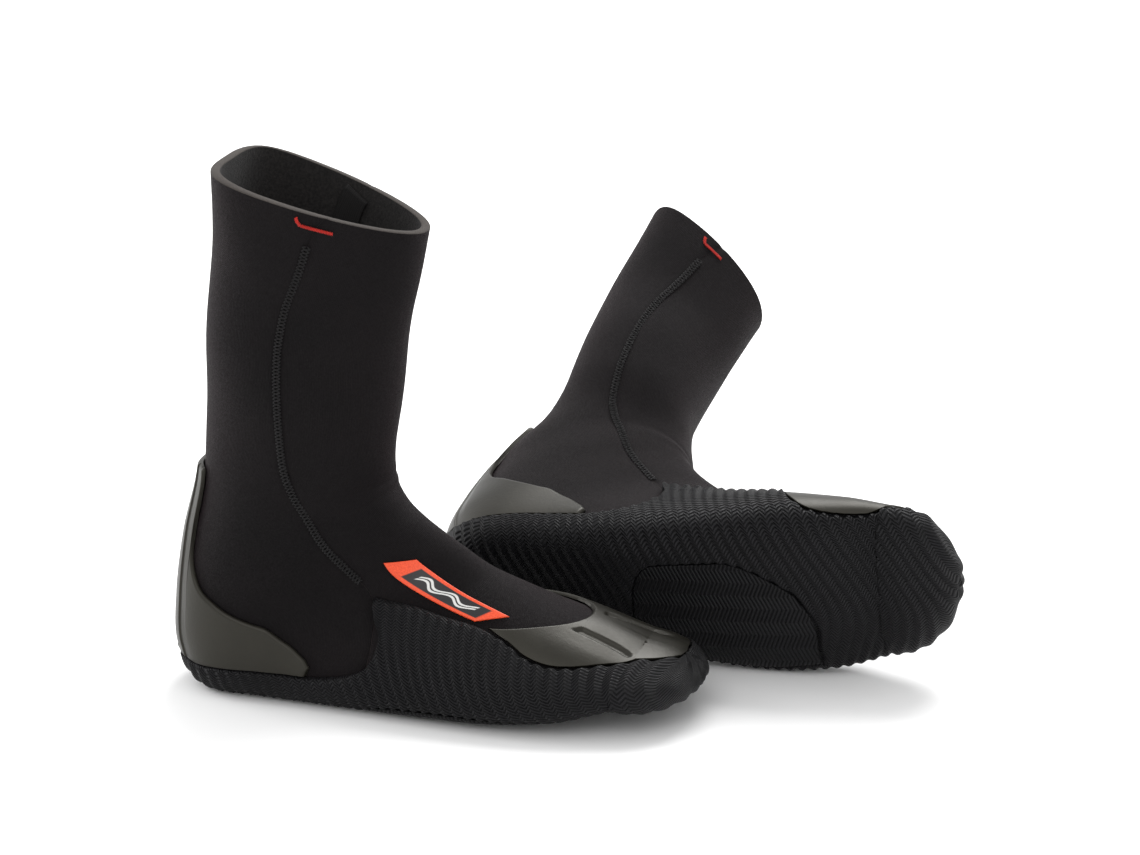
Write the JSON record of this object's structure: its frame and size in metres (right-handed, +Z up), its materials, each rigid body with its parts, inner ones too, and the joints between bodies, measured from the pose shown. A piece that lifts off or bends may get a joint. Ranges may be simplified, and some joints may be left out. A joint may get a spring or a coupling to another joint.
{
  "type": "neoprene boots",
  "caption": "Pair of pull-on neoprene water sports boots, one standing and one lying on its side, with glued rubber soles, heel cups and toe caps.",
  "frame": {"origin": "on the floor under the standing right boot's ankle bend, on its sole's middle line", "axes": "+X to the right boot's toe, +Y away from its outer side (where the lying left boot is), +Z up along its shaft"},
  "size_m": [0.4211, 0.3976, 0.294],
  "materials": {
    "neoprene": "knitted jersey on foam, soft sheen",
    "foam": "soft foam, matt",
    "tape": "thin bonded tape, matt",
    "rubber": "ribbed, satin",
    "smooth_rubber": "smooth, satin",
    "thread": "twisted thread",
    "red_thread": "twisted thread",
    "patch": "printed patch, satin"
  },
  "bodies": {
    "right_foot": {"right_vamp_panel": "neoprene", "right_heel_panel": "neoprene", "right_bottom_panel": "neoprene", "right_footbed": "foam", "right_outsole": "rubber", "right_arch_pad": "rubber", "right_heel_cup": "smooth_rubber", "right_toe_cap": "smooth_rubber", "right_label_patch": "patch", "right_foot_seam_outer": "thread", "right_foot_seam_inner": "thread", "right_foot_tape_outer": "tape", "right_foot_tape_inner": "tape"},
    "right_shaft": {"right_shin_panel": "neoprene", "right_calf_panel": "neoprene", "right_shaft_seam_outer": "thread", "right_shaft_seam_inner": "thread", "right_bartack_outer": "red_thread", "right_bartack_inner": "red_thread", "right_shaft_tape_outer": "tape", "right_shaft_tape_inner": "tape"},
    "left_foot": {"left_vamp_panel": "neoprene", "left_heel_panel": "neoprene", "left_bottom_panel": "neoprene", "left_footbed": "foam", "left_outsole": "rubber", "left_arch_pad": "rubber", "left_heel_cup": "smooth_rubber", "left_toe_cap": "smooth_rubber", "left_label_patch": "patch", "left_foot_seam_outer": "thread", "left_foot_seam_inner": "thread", "left_foot_tape_outer": "tape", "left_foot_tape_inner": "tape"},
    "left_shaft": {"left_shin_panel": "neoprene", "left_calf_panel": "neoprene", "left_shaft_seam_outer": "thread", "left_shaft_seam_inner": "thread", "left_bartack_outer": "red_thread", "left_bartack_inner": "red_thread", "left_shaft_tape_outer": "tape", "left_shaft_tape_inner": "tape"}
  },
  "joints": [
    {"name": "right_ankle", "type": "hinge", "parent": "right_foot", "child": "right_shaft", "pos_m": [0, 0, 0.115], "axis": [0, 1, 0], "range_deg": [-10, 20], "stiffness_Nm_per_rad": 2},
    {"name": "left_lift", "type": "slide", "parent": "right_foot", "child": "left_foot", "axis": [0, 0, 1], "range_m": [0, 0.35]},
    {"name": "left_ankle", "type": "hinge", "parent": "left_foot", "child": "left_shaft", "pos_m": [0.12481, 0.17394, 0.07554], "axis": [0.036, 0.2753, -0.9607], "range_deg": [-10, 20], "stiffness_Nm_per_rad": 2}
  ]
}
